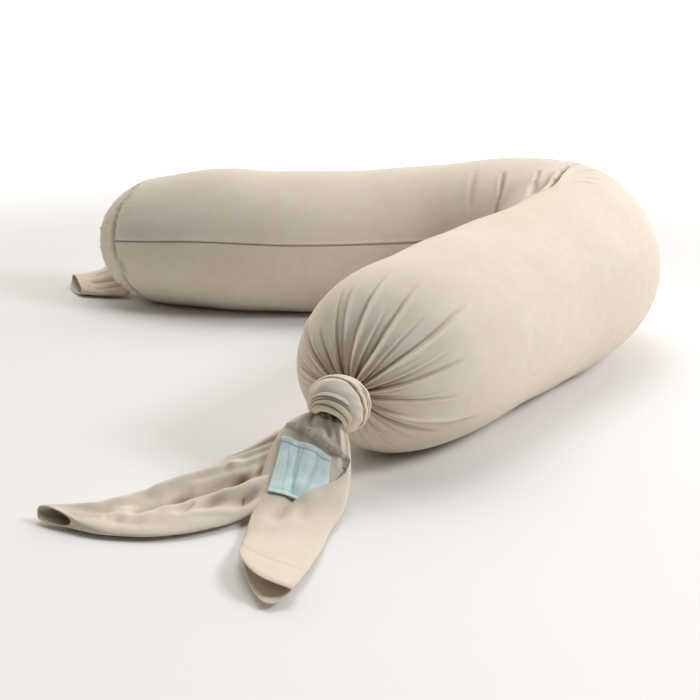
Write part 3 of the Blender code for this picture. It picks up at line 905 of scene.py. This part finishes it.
# %% Collar of a knot
KNOT_GAP = 0.0065         # from the neck to where the collar starts
Groove = namedtuple("Groove", "angle height end_angle end_height width depth")
GROOVES = table(
    Groove,
    (-30, 0.0330, 78, 0.0225, 0.0011, 0.0024),
    (70, 0.0225, 225, 0.0290, 0.0011, 0.0026),
    (125, 0.0150, 215, 0.0165, 0.0008, 0.0016),
    (140, 0.0185, 222, 0.0215, 0.0008, 0.0016),
    (215, 0.0150, 330, 0.0170, 0.0012, 0.0022),
)
CollarRow = namedtuple("CollarRow", "height wide")
COLLAR = table(
    CollarRow,
    (0.0005, 0.015),
    (0.0020, 0.022),
    (0.0050, 0.0275),
    (0.0095, 0.0308),
    (0.0150, 0.0325),
    (0.0210, 0.0328),
    (0.0280, 0.0318),
    (0.0340, 0.0290),
    (0.0385, 0.0250),
    (0.0405, 0.0212),
    (0.0395, 0.0180),
    (0.0350, 0.0160),
    (0.0280, 0.0140),
    (0.0220, 0.0060),
)
COLLAR_ROWS = 110
COLLAR_SIDES = 180
KNOT_LOWER = 0.92         # a knot is a little lower than it is wide
KNOT_SCALE = 1.07


def collar(at, outward_sign, grooves):
    """Rings of a collar at one end of the tube, and the shade painted into its grooves and its mouth."""
    neck, _, left, up, along = course.read(at)
    outward = along * outward_sign
    profile = between([(row.height, row.wide, 0.0) for row in COLLAR], count=COLLAR_ROWS)
    height, wide = profile[:, :1], profile[:, 1:2]
    turned = once_round(COLLAR_SIDES)
    outer = smooth_step((wide - 0.019) / 0.006) * np.ones_like(turned)
    sunk = np.zeros((COLLAR_ROWS, COLLAR_SIDES))
    depth = np.zeros_like(sunk)
    past_top = np.arange(COLLAR_ROWS)[:, None] > int(np.argmax(height))
    for groove in grooves:
        run = math.radians(groove.end_angle - groove.angle)
        from_start = np.mod(turned - math.radians(groove.angle), 2 * math.pi)
        t = from_start / run
        line = groove.height + (groove.end_height - groove.height) * smooth_step(t)
        ends = clamp(np.minimum(t, 1 - t) * run * 0.030 / 0.006) ** 0.7
        gap = (height - line) / groove.width
        step = groove.depth * (bell(gap) + 0.45 * np.exp(-np.clip(gap, 0, None) / 2.2) * (gap > 0))
        sunk += np.where(past_top, 0.0, step * ends)
        # Painted shade in the groove.
        depth += np.where(past_top, 0.0, bell(gap) * ends)
    lumps = 0.0013 * np.sin(2 * turned + 0.8) + 0.0009 * np.sin(3 * turned + height * 90)
    lumps = lumps + 0.0004 * np.sin(9 * turned + height * 420 + 2 * np.sin(2 * turned))
    ring = KNOT_SCALE * wide - sunk * outer + lumps * outer
    place = neck + (KNOT_GAP + height)[..., None] * outward
    spread = ring[..., None] * (np.cos(turned)[:, None] * left + KNOT_LOWER * np.sin(turned)[:, None] * up)
    # Painted shade inside the knot's mouth.
    inside = np.where(past_top, clamp((0.041 - height) / 0.012), 0.0)
    return place + spread, clamp(depth + 0.9 * inside)


def knot_piece(name, node, skin, depth):
    """A collar as a padded piece that stands for its solid."""
    turned = np.arange(COLLAR_SIDES) * 0.2 / COLLAR_SIDES
    piece = cloth_piece(name, skin, turned, np.arange(len(skin))[:, None] * 0.0006, depth, SAND_JERSEY)
    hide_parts(node)


knot_piece("front_knot_collar", "front_knot", *collar(0.0, -1, GROOVES))
knot_piece("rear_knot_collar", "rear_knot", *collar(course.length, 1, GROOVES))

# %% [markdown]
# ## The band across the mouth of the knot
# The last turn of cloth comes out of the knot's mouth on one side, arches over it and dives under on the
# other, with a few creases along it. It is swept along an arch: a flattened round section whose width
# changes, pressed in along lines that follow the arch.

# %% Crossing bands
BandRow = namedtuple("BandRow", "left up out half_width half_thick")
CREASES_OF_BAND = (-0.60, -0.18, 0.34)
BAND_SIDES = 90
BAND_STEP = 0.0011
UPPER_BAND = table(
    BandRow,
    (0.0205, -0.0060, 0.0300, 0.0070, 0.0050),
    (0.0195, 0.0010, 0.0390, 0.0085, 0.0055),
    (0.0120, 0.0085, 0.0425, 0.0100, 0.0058),
    (0.0000, 0.0110, 0.0435, 0.0110, 0.0060),
    (-0.0120, 0.0070, 0.0420, 0.0110, 0.0060),
    (-0.0195, -0.0030, 0.0380, 0.0100, 0.0058),
    (-0.0190, -0.0150, 0.0330, 0.0085, 0.0055),
    (-0.0120, -0.0230, 0.0270, 0.0065, 0.0050),
)


def band(at, outward_sign, rows, creases):
    """A creased band through points given by left, up and out of the neck."""
    neck, _, left, up, along = course.read(at)
    read = between(rows, spacing=BAND_STEP)
    axes = np.stack([left, up, along * outward_sign])
    points = neck + (read[:, :3] + [0, 0, KNOT_GAP]) @ axes
    run = unit(np.gradient(points, axis=0))
    hub = neck + np.array([0.0, -0.004, 0.020]) @ axes
    away = points - hub
    thick = unit(away - (away * run).sum(1)[:, None] * run)
    wide = np.cross(run, thick)
    turned = once_round(BAND_SIDES)
    side, flat = np.cos(turned), np.sin(turned)
    share = np.linspace(0, 1, len(points))[:, None]
    pressed = np.zeros((len(points), BAND_SIDES))
    for k, crease in enumerate(creases):
        line = crease + 0.12 * np.sin(4 * share + 2.1 * k)
        gap = (side - line) / 0.085
        reach = np.sin(math.pi * clamp(share * 1.05 + 0.02 * k)) ** 0.5
        pressed += 0.0021 * reach * bell(gap) * (flat > 0)
    ends = np.clip(np.minimum(share, 1 - share) / 0.06, 0.25, 1) ** 0.5
    half_width, half_thick = read[:, 3:4] * ends, read[:, 4:5] * ends
    body = half_thick * flat - pressed * np.abs(flat) ** 0.3
    skin = points[:, None] + (half_width * side)[..., None] * wide[:, None] + body[..., None] * thick[:, None]
    # Painted shade in the creases.
    return skin, clamp(pressed / 0.0018) * 0.8


front_band, band_painted_shade = band(0.0, -1, UPPER_BAND, CREASES_OF_BAND)
around_band = np.arange(BAND_SIDES) * 0.05 / BAND_SIDES
band_piece = cloth_piece("front_knot_band", front_band, around_band,
                         np.arange(len(front_band))[:, None] * BAND_STEP, band_painted_shade, SAND_JERSEY)

# %% [markdown]
# ## The label
# A piece of mint satin tape is sewn on the front sleeve, and the loose cloth laps over two of its sides.
# Satin is woven with long floats, so it shines more than jersey and shows soft creases. The label is a thin
# closed sheet that follows the sleeve under it, found by casting rays down on the sleeve without its laps.

# %% Mint satin
SATIN_FLOAT = 0.0009      # one float is 0.3 mm wide, too fine to show, so it is drawn three times as wide


def satin(name, *colours):
    """Satin tape in dark and light colours, with painted shade in the folds."""
    material, tree, shader = new_material(name)
    uv = add_node(tree, "ShaderNodeUVMap", uv_map="cloth")["UV"]
    floats = add_node(tree, "ShaderNodeTexWave", {
        "Vector": uv, "Scale": WAVE_OF_A_METRE / SATIN_FLOAT, "Distortion": 1.0})
    bump = add_node(tree, "ShaderNodeBump", {"Height": floats["Fac"], "Strength": 0.25, "Distance": 0.0002})
    plug(tree, shader, {
        "Base Color": dye_and_painted_shade(tree, noise(tree, uv, 90.0, 3.0, 0.6), 0.35, 0.65, colours),
        "Normal": bump["Normal"], "Roughness": 0.42, "Specular IOR Level": 0.5, "Sheen Weight": 0.1})
    return material


# 93BABC is the painted shade of the creases.
MINT_SATIN = satin("mint_satin_tape", "#D2EEEE", "#EAFBFA", "#93BABC")

# %% [markdown]
# ## Laying the label on the sleeve
# The grid runs from the edge by the knot down, and its lower side is the same grid again, a tape's
# thickness below. Creases run down it in slightly wandering lines, and the turned edges stand a little
# higher.

# %% Label
Corner = namedtuple("Corner", "x y")
LABEL_CORNERS = table(
    Corner,
    (-0.0270, -0.4325),
    (0.0250, -0.4490),
    (0.0190, -0.4960),
    (-0.0405, -0.4790),
)
LABEL_STEPS = 96
LABEL_LIFT = 0.0005
TAPE = 0.0011
SATIN_WIDE = 0.058        # metres of woven satin across the label and down it, as its pattern is laid
SATIN_TALL = 0.048
LabelCrease = namedtuple("LabelCrease", "top bottom width depth")
LABEL_CREASES = table(
    LabelCrease,
    (0.34, 0.40, 0.040, 0.0010),
    (0.46, 0.36, 0.022, 0.0007),
    (0.16, 0.24, 0.030, 0.0005),
    (0.74, 0.60, 0.050, 0.0007),
)


def sleeve_tree(made):
    """The outside of a sleeve, ready for rays."""
    outer = made.skin[: int(made.length / TAIL_STEP)]
    return BVHTree.FromPolygons(outer.reshape(-1, 3).tolist(), quads_of(outer))


def label_place(tree, down, across):
    """The point and normal of the sleeve under a share down and a share across the label."""
    a, b, c, d = (np.array(corner) for corner in LABEL_CORNERS)
    x, y = (a + (d - a) * down) * (1 - across) + (b + (c - b) * down) * across
    point, normal, _, _ = tree.ray_cast(Vector((x, y, 0.3)), Vector((0, 0, -1)))
    return np.array(point), np.array(normal)


bare_tree = sleeve_tree(right_bare)
shares = np.linspace(0, 1, LABEL_STEPS)
grid = np.array([[label_place(bare_tree, down, across) for across in shares] for down in shares])
base, lean = grid[:, :, 0], grid[:, :, 1]
lean = unit(lean.mean(axis=(0, 1)) + 0.3 * lean)
down, across = shares[:, None], shares[None, :]
pressed = np.zeros((LABEL_STEPS, LABEL_STEPS))
for k, crease in enumerate(LABEL_CREASES):
    line = crease.top + (crease.bottom - crease.top) * down + 0.012 * np.sin(9 * down + 2 * k)
    pressed += crease.depth * bell((across - line) / crease.width) * np.sin(math.pi * (0.1 + 0.8 * down))
border = np.minimum(down, 1 - down) * np.ones_like(across)
turned_edge = 0.0005 * (1 - smooth_step((border - 0.075) / 0.02)) - 0.0004 * bell((border - 0.085) / 0.012)
height = LABEL_LIFT + TAPE + 0.0005 + turned_edge - pressed
upper_side = base + height[..., None] * lean
lower_side = upper_side - TAPE * lean
label_skin = np.concatenate([upper_side, lower_side[:, ::-1]], axis=1)
satin_across = np.concatenate([shares, shares[::-1]]) * SATIN_WIDE
# Painted shade in the creases, on the upper side only.
crease_painted_shade = clamp(pressed / 0.0012) * 0.6
label_painted_shade = np.concatenate([crease_painted_shade, np.zeros_like(crease_painted_shade)], axis=1)
label = cloth_piece("satin_label", label_skin, satin_across, down * SATIN_TALL, label_painted_shade, MINT_SATIN)
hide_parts("label")

# %% [markdown]
# ## Stitches
# Rows of small stitches hold the label's turned edges and the hems of the sleeves. A stitch is a short
# thread that dips in at both ends. Geometry Nodes set one at each step of a row and turn it along the row,
# so that a single tree with its sizes as inputs does all the rows.

# %% Stitch tree
STITCH_LENGTH = 0.0017
STITCH_SPACING = 0.0025
STITCH_THREAD = 0.00032


def thread_material(name, hexed):
    """Spun polyester thread: matt, with a fine twist that shows as darker flecks."""
    material, tree, shader = new_material(name)
    twist = noise(tree, add_node(tree, "ShaderNodeTexCoord")["Object"], 900.0, 1.0)
    shade = [0.8 * part for part in linear(hexed)[:3]] + [1.0]
    tint = mix_colours(tree, twist, linear(hexed), shade)
    plug(tree, shader, {"Base Color": tint, "Roughness": 0.6})
    return material


def stitch_tree():
    """The tree that sets a stitch at each step along the edges of a mesh."""
    tree = bpy.data.node_groups.new("row_of_stitches", "GeometryNodeTree")
    tree.interface.new_socket("Geometry", in_out="INPUT", socket_type="NodeSocketGeometry")
    for name, value in (("Spacing", STITCH_SPACING), ("Length", STITCH_LENGTH), ("Thread", STITCH_THREAD)):
        tree.interface.new_socket(name, in_out="INPUT", socket_type="NodeSocketFloat").default_value = value
    tree.interface.new_socket("Material", in_out="INPUT", socket_type="NodeSocketMaterial")
    tree.interface.new_socket("Geometry", in_out="OUTPUT", socket_type="NodeSocketGeometry")
    given = add_node(tree, "NodeGroupInput")
    row = add_node(tree, "GeometryNodeMeshToCurve", {"Mesh": given["Geometry"]})
    spacing = {"Curve": row[0], "Length": given["Spacing"]}
    spaced = add_node(tree, "GeometryNodeResampleCurve", spacing, mode="LENGTH")
    ball = add_node(tree, "GeometryNodeMeshUVSphere", {"Segments": 6, "Rings": 5, "Radius": 1.0})
    half = add_node(tree, "ShaderNodeMath", {0: given["Length"], 1: 0.5}, operation="MULTIPLY")
    size = add_node(tree, "ShaderNodeCombineXYZ", {"X": given["Thread"], "Y": given["Thread"], "Z": half[0]})
    tangent = add_node(tree, "GeometryNodeInputTangent")
    turned = add_node(tree, "FunctionNodeAlignRotationToVector", {"Vector": tangent[0]}, axis="Z")
    stitches = add_node(tree, "GeometryNodeInstanceOnPoints", {
        "Points": spaced[0], "Instance": ball["Mesh"], "Rotation": turned[0],
        "Scale": size[0]})
    real = add_node(tree, "GeometryNodeRealizeInstances", {"Geometry": stitches[0]})
    dyed = add_node(tree, "GeometryNodeSetMaterial", {"Geometry": real[0], "Material": given["Material"]})
    add_node(tree, "NodeGroupOutput", {"Geometry": dyed[0]})
    return tree


STITCHES = stitch_tree()


def sew(name, rows, material):
    """One mesh of stitches along all the rows of points."""
    points = np.concatenate(rows) - MIDDLE
    starts = np.cumsum([0] + [len(row) for row in rows])
    edges = [(k, k + 1) for a, b in zip(starts, starts[1:]) for k in range(a, b - 1)]
    line = bpy.data.meshes.new(name + "_rows")
    line.from_pydata(points.tolist(), edges, [])
    guide = in_scene(name + "_rows", line)
    nodes = guide.modifiers.new("stitches", "NODES")
    nodes.node_group = STITCHES
    inputs = [item for item in STITCHES.interface.items_tree if item.in_out == "INPUT"]
    nodes[{item.name: item.identifier for item in inputs}["Material"]] = material
    made = bpy.data.meshes.new_from_object(guide.evaluated_get(bpy.context.evaluated_depsgraph_get()))
    bpy.data.objects.remove(guide)
    made.name = name
    made.shade_smooth()
    piece = in_scene(name, made)
    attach(piece, "root")
    print(name, len(made.polygons) // 30, "stitches")


# %% [markdown]
# The label has a row about 5 mm inside its top and bottom edges, and each sleeve has one near its mouth,
# all the way round.

# %% Rows of stitches
SAND_THREAD = thread_material("sand_polyester_thread", "#D3C3AC")
MINT_THREAD = thread_material("mint_polyester_thread", "#8FBFC1")
LABEL_HEM = 8             # steps of the label's grid from its edge to its stitches
label_rows = [upper_side[k, 2:-2] + 0.0001 * lean[k, 2:-2] for k in (LABEL_HEM, LABEL_STEPS - 1 - LABEL_HEM)]
sew("label_stitches", label_rows, MINT_THREAD)
hems = []
for made in SLEEVES:
    ring = made.skin[int(made.length / TAIL_STEP) - round(HEM / TAIL_STEP)]
    hems.append(np.concatenate([ring, ring[:1]]))
sew("hem_stitches", hems, SAND_THREAD)
